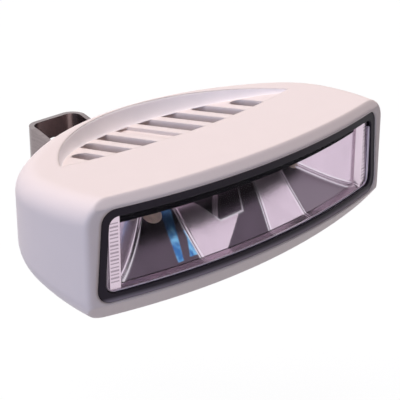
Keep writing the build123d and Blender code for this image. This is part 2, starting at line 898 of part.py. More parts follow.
parts = {
    "housing": housing,
    "lens": lens,
    "lens_gasket": lens_gasket,
    "bezel_frame": bezel_frame,
    "reflector_left": reflector_left,
    "reflector_right": reflector_right,
    "reflector_divider": reflector_divider,
    "main_board": main_board,
    "thermal_pad": thermal_pad,
    "led_group_left": led_group_left,
    "led_group_right": led_group_right,
    "driver_coil": driver_coil,
    "driver_capacitors": driver_capacitors,
    "driver_chips": driver_chips,
    "supply_terminal": supply_terminal,
    "board_screws": board_screws,
    "cable_grommet": cable_grommet,
    "breather_plug": breather_plug,
    "pivot_bush": pivot_bush,
    "bracket_strap": bracket_strap,
    "pivot_bolt": pivot_bolt,
    "pivot_nut": pivot_nut,
    "pivot_washers": pivot_washers,
    "friction_washers": friction_washers,
}

os.makedirs("parts", exist_ok=True)
for name, builder in parts.items():
    builder.part.label = name
    export_step(builder.part, f"parts/{name}.step")
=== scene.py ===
import logging
import math
from dataclasses import dataclass, field, replace
from enum import Enum
from typing import Any, Optional, Sequence, Union

import bpy
import numpy as np
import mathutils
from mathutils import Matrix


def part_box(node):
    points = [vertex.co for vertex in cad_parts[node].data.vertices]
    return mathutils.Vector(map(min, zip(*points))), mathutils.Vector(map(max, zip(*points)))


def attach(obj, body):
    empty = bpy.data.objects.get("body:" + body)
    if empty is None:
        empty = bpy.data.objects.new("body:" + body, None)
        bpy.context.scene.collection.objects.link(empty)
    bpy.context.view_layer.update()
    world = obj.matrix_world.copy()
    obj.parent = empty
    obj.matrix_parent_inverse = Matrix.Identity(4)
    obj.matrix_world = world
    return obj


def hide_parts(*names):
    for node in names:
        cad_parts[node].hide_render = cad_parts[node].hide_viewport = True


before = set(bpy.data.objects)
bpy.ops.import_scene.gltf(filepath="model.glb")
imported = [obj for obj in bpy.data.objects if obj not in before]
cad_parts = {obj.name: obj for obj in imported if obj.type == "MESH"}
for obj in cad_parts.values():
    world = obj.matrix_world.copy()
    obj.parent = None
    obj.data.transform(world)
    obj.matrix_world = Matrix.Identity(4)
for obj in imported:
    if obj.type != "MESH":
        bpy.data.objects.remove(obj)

LOG = logging.getLogger("lamp")
MM = 0.001
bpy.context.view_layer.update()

Color = tuple[float, float, float]
Vector = tuple[float, float, float]
Pair = tuple[float, float]
Value = Union["Signal", float, Sequence[float]]

EVEN: Vector = (1.0, 1.0, 1.0)
UPWARD: Vector = (0.0, 0.0, 1.0)
WHITE: Color = (1.0, 1.0, 1.0)
BEVEL_SAMPLES = 8
# millimetres, farther back than anything in the lamp
FAR = 99.0


class Body(Enum):
    """The two bodies that the pieces ride on."""

    HEAD = "lamp_head"
    BRACKET = "bracket"


class Side(Enum):
    """Left or right, seen from the front."""

    LEFT = -1
    RIGHT = 1


class Mixed(Enum):
    """What a Mix node mixes: its kind, the sockets of both values and that of the result."""

    VECTOR = ("VECTOR", 4, 5, 1)
    COLOR = ("RGBA", 6, 7, 2)


class Signal:
    """One value in a material's node tree, written like a number in a sum."""

    def __init__(self, sheet: "Sheet", socket: bpy.types.NodeSocket) -> None:
        """Keep the socket and the sheet that it belongs to."""
        self.sheet = sheet
        self.socket = socket

    def combine(self, operation: str, other: Value) -> "Signal":
        """Join this value with another one in a Math node."""
        return self.sheet.node("ShaderNodeMath", {"operation": operation}, {0: self, 1: other})

    def __add__(self, other: Value) -> "Signal":
        """Sum."""
        return self.combine("ADD", other)

    def __radd__(self, other: Value) -> "Signal":
        """Sum where the other value stands first."""
        return self + other

    def __sub__(self, other: Value) -> "Signal":
        """Difference."""
        return self.combine("SUBTRACT", other)

    def __mul__(self, other: Value) -> "Signal":
        """Product."""
        return self.combine("MULTIPLY", other)

    def __pow__(self, other: Value) -> "Signal":
        """Power."""
        return self.combine("POWER", other)

    def at_least(self, other: Value) -> "Signal":
        """The larger of the two."""
        return self.combine("MAXIMUM", other)

    def step(self, start: float, end: float) -> "Signal":
        """A smooth climb from 0 at start to 1 at end, or the reverse where end is the lower one.

        Args:
            start: Value at which the climb begins.
            end: Value at which it is over.

        Returns:
            The climb, between 0 and 1.
        """
        rising = start < end
        low, high, first, last = (start, end, 0.0, 1.0) if rising else (end, start, 1.0, 0.0)
        return self.sheet.node(
            "ShaderNodeMapRange",
            {"interpolation_type": "SMOOTHSTEP"},
            {"Value": self, "From Min": low, "From Max": high, "To Min": first, "To Max": last},
        )


class Sheet:
    """The node tree of one material, or of the world."""

    def __init__(self, tree: bpy.types.NodeTree) -> None:
        """Start with an empty tree."""
        self.tree = tree
        self.tree.nodes.clear()

    @classmethod
    def material(cls, name: str) -> tuple["Sheet", bpy.types.Material]:
        """Make a new material.

        Args:
            name: Its name.

        Returns:
            Its sheet and the material.
        """
        made = bpy.data.materials.new(name)
        made.use_nodes = True
        return cls(made.node_tree), made

    def node(
        self, kind: str, settings: dict[str, Any], inputs: dict[Any, Value], output: Any = 0
    ) -> Signal:
        """Add one node.

        Args:
            kind: The node's type.
            settings: Its own settings, which are set first.
            inputs: The value or the signal of each of its sockets.
            output: Which of its results to hand back.

        Returns:
            That result, or the first socket of a node that has no results.
        """
        made = self.tree.nodes.new(kind)
        for name, value in settings.items():
            setattr(made, name, value)
        for name, value in inputs.items():
            if isinstance(value, Signal):
                self.tree.links.new(value.socket, made.inputs[name])
            else:
                made.inputs[name].default_value = value
        return Signal(self, made.outputs[output] if made.outputs else made.inputs[0])

    def place(self) -> Signal:
        """The point on the object, in metres."""
        return self.node("ShaderNodeTexCoord", {}, {}, "Object")

    def along(self, axis: str) -> Signal:
        """One coordinate of the point on the object, in millimetres."""
        return self.node("ShaderNodeSeparateXYZ", {}, {0: self.place()}, axis) * (1 / MM)

    def noise(self, size: float, detail: float = 2.0, stretch: Vector = EVEN) -> Signal:
        """Soft noise between 0 and 1.

        Args:
            size: Width of one blot, in millimetres.
            detail: How much finer noise lies on it.
            stretch: How much faster it changes along each axis.

        Returns:
            The noise.
        """
        spread = self.node("ShaderNodeMapping", {}, {"Vector": self.place(), "Scale": stretch})
        inputs = {"Vector": spread, "Scale": 1 / (size * MM), "Detail": detail}
        return self.node("ShaderNodeTexNoise", {}, inputs)

    def mix(self, kind: Mixed, share: Value, first: Value, second: Value) -> Signal:
        """Mix two values.

        Args:
            kind: What they are.
            share: 0 for the first one, 1 for the second one.
            first: A value or a signal.
            second: A value or a signal.

        Returns:
            The mixed value.
        """
        data_type, low, high, output = kind.value
        inputs = {0: share, low: first, high: second}
        return self.node("ShaderNodeMix", {"data_type": data_type}, inputs, output)

    def blend(self, share: Value, first: Value, second: Value) -> Signal:
        """Mix two colours.

        Args:
            share: 0 for the first one, 1 for the second one.
            first: A colour or a signal.
            second: A colour or a signal.

        Returns:
            The mixed colour.
        """
        first, second = (c if isinstance(c, Signal) else (*c, 1.0) for c in (first, second))
        return self.mix(Mixed.COLOR, share, first, second)

    def lean(self, share: float) -> Signal:
        """The surface's normal leaned upwards, as on a wall that runs out softly into the flat.

        Args:
            share: How far it leans, from 0 for the surface's own to 1 for straight up.

        Returns:
            The normal.
        """
        normal = self.node("ShaderNodeNewGeometry", {}, {}, "Normal")
        leaned = self.mix(Mixed.VECTOR, share, normal, UPWARD)
        return self.node("ShaderNodeVectorMath", {"operation": "NORMALIZE"}, {0: leaned})

    def bump(self, height: Signal, depth: float, edge: float = 0.0, lean: float = 0.0) -> Signal:
        """Turn a height between 0 and 1 into a bumpy normal.

        Args:
            height: The height.
            depth: How deep its full range is, in millimetres.
            edge: Radius by which sharp edges look rounded, in millimetres.
            lean: How far the normal leans upwards, between 0 and 1, in place of the edge.

        Returns:
            The normal.
        """
        inputs: dict[Any, Value] = {"Height": height, "Distance": depth * MM}
        if lean:
            inputs["Normal"] = self.lean(lean)
        elif edge:
            settings = {"samples": BEVEL_SAMPLES}
            inputs["Normal"] = self.node("ShaderNodeBevel", settings, {"Radius": edge * MM})
        return self.node("ShaderNodeBump", {}, inputs)

    def finish(self, shader: Signal, kind: str = "ShaderNodeOutputMaterial") -> None:
        """Send a shader to the output."""
        self.node(kind, {}, {0: shader})


@dataclass(frozen=True)
class Moulded:
    """An even finish with faint clouds in its colour and a fine grain, such as plastic or paint.

    The sizes of clouds, grain and rounded edge are in millimetres.
    """

    name: str
    color: Color
    roughness: float
    metallic: float = 0.0
    coat: float = 0.0
    cloud: float = 0.04
    cloud_size: float = 9.0
    sheen_change: float = 0.15
    sheen_fineness: float = 3.0
    grain: float = 0.02
    grain_size: float = 0.5
    specular: float = 0.5
    edge: float = 0.0

    def around(self, contrast: float) -> tuple[Color, Color]:
        """The colour made darker and made lighter.

        Args:
            contrast: By how much of itself.

        Returns:
            The darker and the lighter colour.
        """
        darker = tuple(c * (1 - contrast) for c in self.color)
        lighter = tuple(min(1.0, c * (1 + contrast)) for c in self.color)
        return darker, lighter

    def tone(self, sheet: Sheet) -> Signal:
        """The colour, a little lighter and darker in large soft clouds."""
        return sheet.blend(sheet.noise(self.cloud_size), *self.around(self.cloud))

    def relief(self, sheet: Sheet) -> Signal:
        """The grain, as a bumpy normal."""
        return sheet.bump(sheet.noise(self.grain_size), self.grain, self.edge)

    def sheen(self, sheet: Sheet) -> Signal:
        """The roughness, which finer clouds change a little."""
        clouds = sheet.noise(self.cloud_size / self.sheen_fineness) - 0.5
        return self.roughness + clouds * (self.roughness * self.sheen_change)

    def build(self) -> bpy.types.Material:
        """Make the material.

        Returns:
            The material.
        """
        sheet, made = Sheet.material(self.name)
        inputs = {
            "Base Color": self.tone(sheet),
            "Roughness": self.sheen(sheet),
            "Metallic": self.metallic,
            "Coat Weight": self.coat,
            "Specular IOR Level": self.specular,
            "Normal": self.relief(sheet),
        }
        sheet.finish(sheet.node("ShaderNodeBsdfPrincipled", {}, inputs))
        return made


@dataclass(frozen=True)
class PowderCoat(Moulded):
    """Baked powder paint: low rounded waves under a fine even tooth."""

    wave: float = 0.012
    wave_size: float = 1.6
    wave_detail: float = 1.0
    lean: float = 0.0

    def relief(self, sheet: Sheet) -> Signal:
        """Waves as wide as orange peel, with the tooth of the powder on them.

        Args:
            sheet: The material's sheet.

        Returns:
            The bumpy normal.
        """
        fine = self.grain / (self.grain + self.wave)
        waves = sheet.noise(self.wave_size, self.wave_detail)
        height = waves * (1 - fine) + sheet.noise(self.grain_size) * fine
        return sheet.bump(height, self.grain + self.wave, self.edge, self.lean)


@dataclass(frozen=True)
class Brushed(Moulded):
    """Metal with brush lines along the strip, which runs level, so that the lines cross Z."""

    line_size: float = 0.35
    line_contrast: float = 0.2
    line_detail: float = 3.0
    line_stretch: Vector = (0.04, 0.04, 1.0)

    def lines(self, sheet: Sheet) -> Signal:
        """Long thin streaks, slow along X and Y and fast along Z."""
        return sheet.noise(self.line_size, self.line_detail, self.line_stretch)

    def tone(self, sheet: Sheet) -> Signal:
        """The colour, lighter and darker from line to line."""
        return sheet.blend(self.lines(sheet), *self.around(self.line_contrast))

    def relief(self, sheet: Sheet) -> Signal:
        """The brush lines, as a bumpy normal."""
        return sheet.bump(self.lines(sheet), self.grain)


@dataclass(frozen=True)
class Seal(Moulded):
    """Black rubber whose outer lip, where it curls over the case, is painted greyer along its lower
    side: painted light, where light from the floor grazes it.
    """

    # painted light: the grey of the lower lip, where light from the floor grazes it
    lip: Color = (0.36, 0.31, 0.35)
    painted_light_from: float = -1.1
    painted_light_to: float = -3.3

    def tone(self, sheet: Sheet) -> Signal:
        """The rubber's colour, blended into the lip's painted-light grey between two heights."""
        lower = sheet.along("Z").step(self.painted_light_from, self.painted_light_to)
        return sheet.blend(lower, super().tone(sheet), self.lip)


@dataclass(frozen=True)
class ClearWindow:
    """Clear moulded polycarbonate: see-through, with a gloss that grows towards grazing views."""

    name: str = "lens_clear_sheet"
    gloss: float = 0.002
    edge_gloss: float = 0.10
    edge_blend: float = 0.35
    edge_power: float = 4.0
    roughness: float = 0.03
    tint: Color = (0.97, 0.96, 0.98)

    def build(self) -> bpy.types.Material:
        """Make the material.

        Returns:
            The material.
        """
        sheet, made = Sheet.material(self.name)
        grazing = sheet.node("ShaderNodeLayerWeight", {}, {"Blend": self.edge_blend}, "Facing")
        share = self.gloss + grazing**self.edge_power * self.edge_gloss
        clear = sheet.node("ShaderNodeBsdfTransparent", {}, {"Color": (*self.tint, 1.0)})
        mirror = {"Base Color": (*WHITE, 1.0), "Metallic": 1.0, "Roughness": self.roughness}
        bright = sheet.node("ShaderNodeBsdfPrincipled", {}, mirror)
        sheet.finish(sheet.node("ShaderNodeMixShader", {}, {0: share, 1: clear, 2: bright}))
        return made


@dataclass(frozen=True)
class Plated:
    """Bright plating over a moulded reflector, with reflections painted into its colour and told
    apart by the zones of its mesh.

    The first zone is a pale painted reflection, the second one a painted highlight on the bright
    rolled ridges, the third one a bluish painted reflection, and what is left is the dark floor of
    the bowl, a painted dark reflection. Sizes are in millimetres.
    """

    name: str = "plating_painted_reflections"
    # painted reflection: the floor's dark colour stands in for the dim room mirrored in the
    # plating, lifted a little in the mottles
    dark: Color = (0.112, 0.086, 0.110)
    dark_reflection_lift: float = 1.3
    # painted reflection: the walls' pale lilac stands in for the lit room mirrored in the plating,
    # a little darker in the mottles
    pale: Color = (0.77, 0.65, 0.725)
    pale_reflection_drop: float = 0.86
    # painted highlight on the rolled ridges and beads
    ridge_highlight: Color = (0.97, 0.93, 0.96)
    # painted reflection: bluish strips mirrored in the plating, with lighter streaks in them
    blue_reflection: Color = (0.05, 0.20, 0.50)
    blue_reflection_light: Color = (0.26, 0.62, 0.92)
    blue_reflection_share: float = 0.92
    mottle: float = 0.5
    mottle_size: float = 7.0
    mottle_detail: float = 3.0
    mottle_stretch: Vector = (1.0, 1.0, 0.4)
    mottle_range: Pair = (0.3, 0.7)
    streak_size: float = 2.6
    streak_detail: float = 4.0
    streak_stretch: Vector = (1.0, 1.0, 0.3)
    streak_range: Pair = (0.35, 0.68)
    roughness: float = 0.2
    sheen_change: float = 0.06
    sheen_size: float = 14.0
    wave: float = 0.03
    wave_size: float = 5.0

    def tone(self, sheet: Sheet) -> Signal:
        """The colour of each zone, all painted reflection and highlight, with soft mottling on
        floor and walls and streaks in the bluish painted reflection.

        Args:
            sheet: The material's sheet.

        Returns:
            The colour.
        """
        zones = sheet.node("ShaderNodeAttribute", {"attribute_name": "zones"}, {}, "Color")
        pale, ridge_highlight, blue_reflection = (
            sheet.node("ShaderNodeSeparateColor", {}, {0: zones}, band)
            for band in ("Red", "Green", "Blue")
        )
        mottles = sheet.noise(self.mottle_size, self.mottle_detail, self.mottle_stretch)
        mottled = mottles.step(*self.mottle_range) * self.mottle
        floor = sheet.blend(mottled, self.dark, tuple(c * self.dark_reflection_lift for c in self.dark))
        walls = sheet.blend(mottled, self.pale, tuple(c * self.pale_reflection_drop for c in self.pale))
        streaks = sheet.noise(self.streak_size, self.streak_detail, self.streak_stretch)
        blue = sheet.blend(streaks.step(*self.streak_range), self.blue_reflection, self.blue_reflection_light)
        color = sheet.blend(blue_reflection * self.blue_reflection_share, sheet.blend(pale, floor, walls), blue)
        return sheet.blend(ridge_highlight, color, self.ridge_highlight)

    def build(self) -> bpy.types.Material:
        """Make the material.

        Returns:
            The material.
        """
        sheet, made = Sheet.material(self.name)
        inputs = {
            "Base Color": self.tone(sheet),
            "Roughness": self.roughness + sheet.noise(self.sheen_size) * self.sheen_change,
            "Metallic": 1.0,
            "Normal": sheet.bump(sheet.noise(self.wave_size), self.wave),
        }
        sheet.finish(sheet.node("ShaderNodeBsdfPrincipled", {}, inputs))
        return made


def surface(
    name: str,
    points: np.ndarray,
    material: bpy.types.Material,
    closed: tuple[bool, bool],
    zones: Optional[np.ndarray] = None,
) -> bpy.types.Object:
    """Make one mesh from a grid of points.

    Args:
        name: The piece's name.
        points: The grid, as rows by columns by 3, in millimetres.
        material: Its finish.
        closed: Whether the rows, and the columns, join up at the end. Where only the columns do,
            the two ends of the tube that they make are closed with a face each.
        zones: Three shares per point, for the material to read, or None.

    Returns:
        The piece, at the origin, in metres.
    """
    rows, columns = points.shape[:2]
    index = np.arange(rows * columns).reshape(rows, columns)
    if closed[0]:
        index = np.vstack([index, index[:1]])
    if closed[1]:
        index = np.hstack([index, index[:, :1]])
    corners = [index[:-1, :-1], index[1:, :-1], index[1:, 1:], index[:-1, 1:]]
    faces = np.stack(corners, -1).reshape(-1, 4).tolist()
    if closed == (False, True):
        faces += [index[0, :-1].tolist(), index[-1, -2::-1].tolist()]
    mesh = bpy.data.meshes.new(name)
    mesh.from_pydata((points.reshape(-1, 3) * MM).tolist(), [], faces)
    mesh.polygons.foreach_set("use_smooth", np.ones(len(faces), bool))
    mesh.materials.append(material)
    if zones is not None:
        shares = np.concatenate([zones.reshape(-1, 3), np.ones((rows * columns, 1))], axis=1)
        layer = mesh.color_attributes.new("zones", "FLOAT_COLOR", "POINT")
        layer.data.foreach_set("color", shares.ravel())
    mesh.update()
    piece = bpy.data.objects.new(name, mesh)
    bpy.context.scene.collection.objects.link(piece)
    return piece


@dataclass
class Lamp:
    """Sizes that the pieces share, in millimetres; where the face is comes from the frame."""

    front_radius: float = 248.0
    axis_height: float = 12.6
    face: float = field(init=False)

    def __post_init__(self) -> None:
        """Read where the face is from the housing's box."""
        self.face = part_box("housing")[0].y / MM

    @property
    def bend_y(self) -> float:
        """Where the upright axis stands round which the face is bent."""
        return self.face + self.front_radius

    def behind(self, across: np.ndarray, depth: np.ndarray, height: np.ndarray) -> np.ndarray:
        """Points behind the bent face: Y = bend_y - sqrt((front_radius - depth)^2 - X^2).

        Args:
            across: X of each point.
            depth: How far each point lies behind the face.
            height: How far each point lies above the window's middle.

        Returns:
            The points, with one more dimension than the three.
        """
        across, depth, height = np.broadcast_arrays(across, depth, height)
        ahead = self.bend_y - np.sqrt((self.front_radius - depth) ** 2 - across**2)
        return np.stack([across, ahead, self.axis_height + height], -1)


@dataclass
class Dressing:
    """Gives the parts that come from the frame their finishes."""

    body: Body
    finishes: dict[str, bpy.types.Material]

    def dress(self) -> None:
        """Put each finish on its part."""
        for name, material in self.finishes.items():
            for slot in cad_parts[name].material_slots:
                slot.material = material
            LOG.info("%s dressed in %s on %s", name, material.name, self.body.value)


@dataclass
class ScoopCove:
    """The soft hollow foot of the scoop's rim: height = wall * (1 - t)^hollow, reach * t inwards.

    The rim is an arc in plan through both tips of the scoop and its rearmost point; the scoop's
    floor is a cone that falls to the rear, and the top is a plane that falls less. Sizes are in
    millimetres; reach is a share of the wall's height.
    """

    lamp: Lamp
    finish: PowderCoat
    housing_depth: float = 79.0
    scoop_front: float = 34.8
    half_width: float = 53.0
    rim: float = 6.9
    lip: float = 1.5
    floor_fall: float = 0.195
    top_front: float = 19.9
    top_fall: float = 0.062
    reach: float = 0.6
    hollow: float = 1.7
    buried: float = 0.3
    sunk: float = 0.04
    tip_share: float = 0.995
    steps: int = 120
    profile_steps: int = 14

    @property
    def front_arc(self) -> float:
        """Radius of the scoop's front edge about the axis of the bend."""
        return self.lamp.front_radius - self.scoop_front

    def floor(self, points: np.ndarray) -> np.ndarray:
        """Height of the scoop's floor: it falls by floor_fall for each millimetre behind its front.

        Args:
            points: X and Y of each point.

        Returns:
            The height of each point.
        """
        from_axis = np.hypot(points[..., 0], points[..., 1] - self.lamp.bend_y)
        front = self.top_front - self.top_fall * self.scoop_front - self.lip
        return self.lamp.axis_height + front - self.floor_fall * (self.front_arc - from_axis)

    def top(self, points: np.ndarray) -> np.ndarray:
        """Height of the housing's top: it falls by top_fall for each millimetre behind the face."""
        fall = self.top_fall * (points[..., 1] - self.lamp.face)
        return self.lamp.axis_height + self.top_front - fall

    def build(self) -> bpy.types.Object:
        """Carry the hollow profile along the rim, thinning out to nothing at both tips.

        Returns:
            The piece.
        """
        tip = self.lamp.bend_y - math.sqrt(self.front_arc**2 - self.half_width**2)
        rear = self.lamp.face + self.housing_depth - self.rim
        rise = rear - tip
        radius = (self.half_width**2 + rise**2) / (2 * rise)
        swing = math.asin(self.half_width / radius) * self.tip_share
        angle = np.linspace(-swing, swing, self.steps)
        outward = np.stack([np.sin(angle), np.cos(angle)], -1)
        path = outward * radius + [0.0, rear - radius]
        wall = self.top(path) - self.floor(path)
        t = np.linspace(0, 1, self.profile_steps)
        inward = np.append(t, [1.0, 0.0]) * self.reach * wall[:, None]
        inward[:, -1] = -self.buried
        above = np.append((1 - t) ** self.hollow, [0.0, 0.0]) * wall[:, None] - self.sunk
        above[:, -2:] -= self.buried
        spots = path[:, None, :] - outward[:, None, :] * inward[..., None]
        height = self.floor(spots) + above
        height[:, 0] = self.top(path) - self.sunk
        points = np.concatenate([spots, height[..., None]], -1)
        piece = surface("scoop_cove", points[::-1], self.finish.build(), (False, True))
        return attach(piece, Body.HEAD.value)


@dataclass
class Housing:
    """The cast case, its seal, inner frame and the small parts in its walls."""

    lamp: Lamp
    white: PowderCoat = PowderCoat(
        "white_powder_coat", (0.88, 0.772, 0.742), 0.5, cloud=0.012, specular=0.3, edge=1.8
    )
    # painted light: the rim's white is lighter than the case's, making up for the shade that falls
    # on the rim
    rim_painted_light_color: Color = (0.98, 0.90, 0.895)
    rim_lean: float = 0.3
    seal: Seal = Seal(
        "black_seal_rubber_painted_light", (0.026, 0.019, 0.028), 0.5, grain=0.01, specular=0.14, edge=0.5
    )
    inlet: Moulded = Moulded(
        "black_inlet_rubber", (0.020, 0.014, 0.021), 0.5, grain=0.01, specular=0.14, edge=0.5
    )
    trim: Moulded = Moulded(
        "black_inner_frame", (0.003, 0.0022, 0.004), 0.6, grain=0.01, specular=0.03
    )
    plug: Moulded = Moulded("grey_breather", (0.11, 0.105, 0.11), 0.55)

    @property
    def rim_painted_light_white(self) -> PowderCoat:
        """The white of the scoop's rim, made lighter as painted light where less light falls,
        leaned towards the flat.
        """
        changes = {"color": self.rim_painted_light_color, "edge": 0.0, "lean": self.rim_lean}
        return replace(self.white, name="rim_powder_coat_painted_light", **changes)

    def build(self) -> None:
        """Dress the case and its trim, and build the foot of the scoop's rim."""
        finishes = {
            "housing": self.white.build(),
            "lens_gasket": self.seal.build(),
            "cable_grommet": self.inlet.build(),
            "bezel_frame": self.trim.build(),
            "breather_plug": self.plug.build(),
        }
        Dressing(Body.HEAD, finishes).dress()
        ScoopCove(self.lamp, self.rim_painted_light_white).build()
        LOG.info("scoop_cove built")


@dataclass(frozen=True)
class BlueReflection:
    """One slanting strip of bluish painted reflection: its heights, and X of its left and right
    side at either end.
    """

    top: float
    bottom: float
    top_x: Pair
    bottom_x: Pair
    fade: float = 0.4
    rise: float = 2.0

    def share(self, x: np.ndarray, height: np.ndarray) -> np.ndarray:
        """How far each point lies in the strip: it fades in over fade from each slanting side.

        Args:
            x: X of each point.
            height: Its height.

        Returns:
            A share between 0 and 1.
        """
        down = np.clip((self.top - height) / (self.top - self.bottom), 0, 1)
        left, right = (a + (b - a) * down for a, b in zip(self.top_x, self.bottom_x))
        inside = np.clip((x - left) / self.fade, 0, 1) * np.clip((right - x) / self.fade, 0, 1)
        return inside * (height > self.bottom) * (height < self.top + self.rise)


@dataclass
class Reflector:
    """A stretch of the plated optics: a climbing floor, a curved outer wall and an end whose ribs
    are painted shade.

    Its front is one height field over X and the height above the window's middle:
    depth = min(floor(height), ceiling(height), wall(|X|)) - beads. Sizes are in millimetres.
    """

    lamp: Lamp
    node: str
    start: float
    end: float
    wall_reach: float = 27.0
    thickness: float = 0.8
    foot_heights: Sequence[float] = (-12.95, -12.0, 6.6)
    foot_depths: Sequence[float] = (1.75, 4.7, 23.3)
    foot_rows: int = 6
    # painted reflection: the foot keeps at least this share of the pale painted reflection
    foot_pale_reflection: float = 0.42
    ceiling_height: float = 12.4
    ceiling_depth: float = 7.2
    ceiling_slope: float = 2.4
    end_panel: float = 56.8
    panel_depth: float = 1.75
    panel_edge: float = 60.5
    # painted reflection: beyond panel_edge the end panels keep this share of the pale painted
    # reflection, here none, so they take the dark one
    panel_edge_pale_reflection: float = 0.0
    wall_start: float = 4.4
    wall_depth: float = 14.9
    wall_power: float = 1.25
    facet_edge: float = 24.6
    crease_slope: float = 1.5
    crease_margin: float = 0.5
    bead: float = 0.3
    bead_width: float = 0.3
    bead_gap: float = 1.1
    # painted highlight: how bright the rolled beads and the thin edge lines are painted
    bead_highlight: float = 0.75
    rib_pitch: float = 1.25
    rib_from: float = 57.4
    rib_to: float = 60.2
    rib_reach: float = 10.5
    rib_cut: float = 0.2
    # painted shade: the ribs are stripes darkened by this share, on a flat panel
    rib_shade: float = 0.55
    # painted reflection: slanting bluish strips on the floor
    blue_reflections: Sequence[BlueReflection] = (
        BlueReflection(0.5, -11.4, (-30.4, -25.9), (-33.6, -31.0)),
        BlueReflection(-6.4, -11.0, (-25.9, -25.0), (-28.6, -25.2)),
    )
    # painted reflection: a dark panel in the middle, between these left and right sides
    middle_heights: Sequence[float] = (-12.0, -5.5, 0.2)
    middle_left: Sequence[float] = (-13.4, -2.6, 2.9)
    middle_right: Sequence[float] = (6.3, 9.0, 11.0)
    # painted reflection: the hood is a dark zone, crossed by a bar that keeps the pale painted
    # reflection
    hood: Sequence[Pair] = ((-15.8, 0.3), (-10.4, -5.3), (0.0, -5.0), (3.1, 0.2))
    hood_top: float = 0.3
    bar_middle: float = -8.0
    bar_slope: float = 0.95
    bar_half: float = 1.2
    # painted reflection: the right bowl's floor keeps this share of the pale painted reflection
    right_bowl_pale_reflection: float = 0.19
    density: float = 6.0
    rows: int = 110

    def wall(self, out: np.ndarray) -> np.ndarray:
        """Depth of the outer wall and of the end panel beyond it.

        The wall is wall_start + wall_depth * ((end_panel - |X|) / wall_reach)^wall_power.

        Args:
            out: Size of X of each point.

        Returns:
            The depth, far behind all else where the wall doesn't reach.
        """
        inward = np.clip((self.end_panel - out) / self.wall_reach, 0, 1)
        curved = self.wall_start + self.wall_depth * inward**self.wall_power
        reached = np.where(out < self.end_panel - self.wall_reach, FAR, curved)
        return np.where(out > self.end_panel, self.panel_depth, reached)

    def floor(self, height: np.ndarray) -> np.ndarray:
        """Depth of the foot and of the floor that climbs from it, straight between corners."""
        return np.interp(height, self.foot_heights, self.foot_depths)

    def ceiling(self, height: np.ndarray) -> np.ndarray:
        """Depth of the ceiling: ceiling_depth + ceiling_slope * (ceiling_height - height)."""
        return self.ceiling_depth + self.ceiling_slope * (self.ceiling_height - height)

    def pair_of_beads(self, away: np.ndarray) -> np.ndarray:
        """Two rolled beads beside a line: exp(-((away -+ bead_gap / 2) / bead_width)^2), summed."""
        offsets = (-self.bead_gap / 2, self.bead_gap / 2)
        return sum(np.exp(-(((away + offset) / self.bead_width) ** 2)) for offset in offsets)

    def ribs(self, out: np.ndarray, height: np.ndarray) -> np.ndarray:
        """Whether a point lies on a level rib, drawn as painted shade: sin(2 pi * height /
        rib_pitch) > rib_cut.

        Args:
            out: Size of X of each point.
            height: Its height.

        Returns:
            1 on a rib, or else 0.
        """
        panel = (out > self.rib_from) & (out < self.rib_to) & (abs(height) < self.rib_reach)
        return panel * (np.sin(height * 2 * np.pi / self.rib_pitch) > self.rib_cut)

    def inside_hood(self, x: np.ndarray, height: np.ndarray) -> np.ndarray:
        """Distance inside the hood's three lower sides: the least of those from their lines.

        Args:
            x: X of each point.
            height: Its height.

        Returns:
            The distance, below 0 outside.
        """
        away = [
            ((x1 - x0) * (height - h0) - (h1 - h0) * (x - x0)) / math.hypot(x1 - x0, h1 - h0)
            for (x0, h0), (x1, h1) in zip(self.hood[:-1], self.hood[1:])
        ]
        return np.minimum.reduce(away)

    def zones(
        self, x: np.ndarray, height: np.ndarray, on_floor: np.ndarray, beads: np.ndarray
    ) -> np.ndarray:
        """The shares of pale painted reflection, painted highlight and bluish painted reflection of
        each point.

        The dark painted reflection covers the floors of both bowls, the right one a little less so,
        a panel in the middle and the hood beside it, but for the bar that crosses the hood. The
        foot, the ribs and the outer edges of the end panels have painted shades of their own: a
        paler foot, painted shade on the ribs and dark outer edges.

        Args:
            x: X of each point.
            height: Its height.
            on_floor: Whether it lies on the floor.
            beads: How much of a bead it lies on.

        Returns:
            The three shares.
        """
        left = np.interp(height, self.middle_heights, self.middle_left)
        right = np.interp(height, self.middle_heights, self.middle_right)
        hood = self.inside_hood(x, height)
        bar = abs(x - self.bar_middle - self.bar_slope * height) < self.bar_half
        middle = (x > left) & (x < right)
        # painted reflection: where the dark painted reflection goes
        dark = on_floor & (middle | (abs(x) > self.facet_edge) | ((hood > 0) & ~bar))
        # painted highlight: thin bright lines along the hood's lower sides and the middle panel's
        # right side
        outline = np.exp(-((hood / self.bead_width) ** 2)) * (height < self.hood_top)
        edges = (outline + self.pair_of_beads(x - right)) * on_floor
        pale = np.where(dark, np.where(x > self.facet_edge, self.right_bowl_pale_reflection, 0.0), 1.0)
        pale = pale * (1 - self.rib_shade * self.ribs(abs(x), height))
        # painted reflection: the foot is paler
        foot = height < self.foot_heights[1]
        pale = np.where(foot, np.maximum(pale, self.foot_pale_reflection), pale)
        pale = np.where(abs(x) > self.panel_edge, self.panel_edge_pale_reflection, pale)
        shine = np.clip(beads + edges, 0, 1) * self.bead_highlight
        blue = np.clip(sum(blue_reflection.share(x, height) for blue_reflection in self.blue_reflections), 0, 1) * on_floor
        return np.stack([pale, shine, blue], -1)

